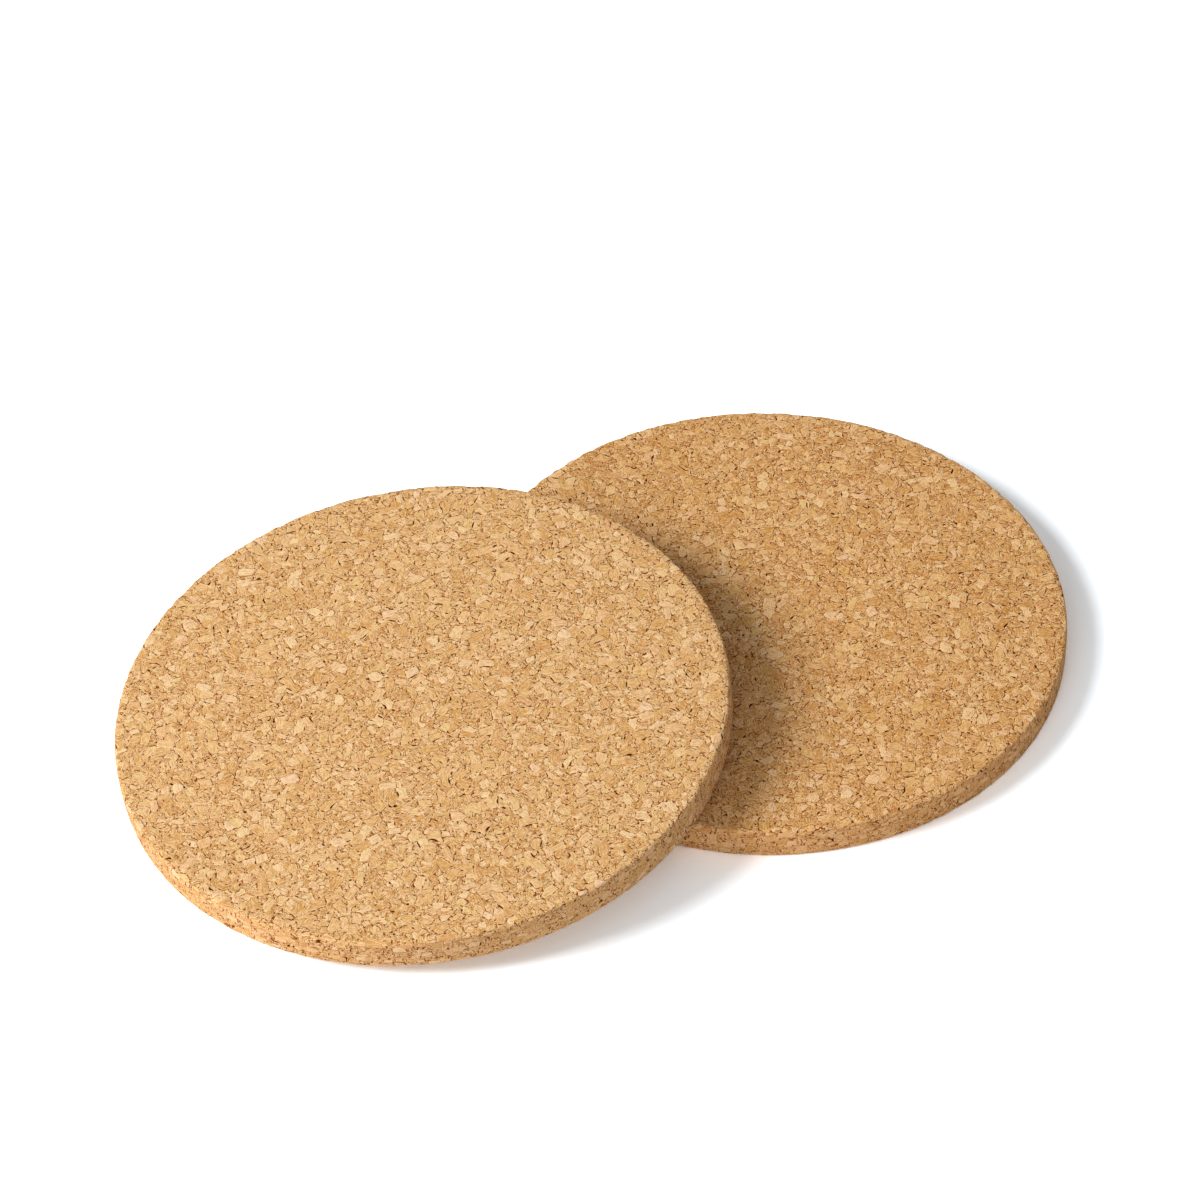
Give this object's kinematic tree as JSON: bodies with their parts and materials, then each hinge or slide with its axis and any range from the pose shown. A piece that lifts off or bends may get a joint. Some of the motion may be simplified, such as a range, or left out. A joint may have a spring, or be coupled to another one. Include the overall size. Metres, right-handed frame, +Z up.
{
  "type": "cork trivet set",
  "caption": "Round trivets of pressed cork granules: a disc lying flat, with its twin leaning on its rim and free to lift off and go under a hot pot.",
  "frame": {"origin": "centre of the flat trivet's underside, on the table", "axes": "+Z up from the table, +X to the right and +Y away from someone who has the leaning trivet in front, to the left of the flat one"},
  "size_m": [0.2816, 0.2224, 0.0266],
  "materials": {
    "cork": "matte"
  },
  "bodies": {
    "flat": {"flat_trivet": "cork"},
    "leaning": {"leaning_trivet": "cork"}
  },
  "joints": [
    {"name": "lift_off", "type": "slide", "parent": "flat", "child": "leaning", "axis": [0, 0, 1], "range_m": [0, 0.06]}
  ]
}
